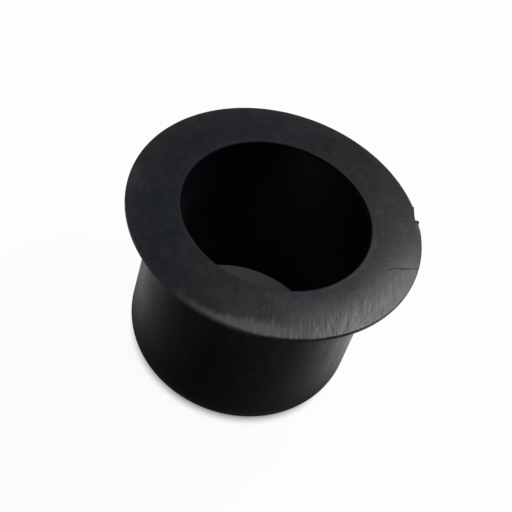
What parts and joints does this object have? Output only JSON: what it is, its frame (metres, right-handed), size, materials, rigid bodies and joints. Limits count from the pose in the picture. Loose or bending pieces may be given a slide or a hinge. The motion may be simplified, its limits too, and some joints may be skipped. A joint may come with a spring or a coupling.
{
  "type": "clutch fork bushing",
  "caption": "Flanged plastic sleeve with a straight bore: lines a housing so that a clutch fork's shaft can turn in it.",
  "frame": {"origin": "centre of the sleeve's end face, which the part stands on", "axes": "+Z along the bore from the sleeve's end to the flange; the torn nick in the rim is 23 degrees from +X towards +Y"},
  "size_m": [0.028, 0.028, 0.019],
  "materials": {
    "black_plastic": "satin moulded black, finely scored on the flange's face"
  },
  "bodies": {
    "root": {"bushing": "black_plastic"}
  },
  "joints": []
}
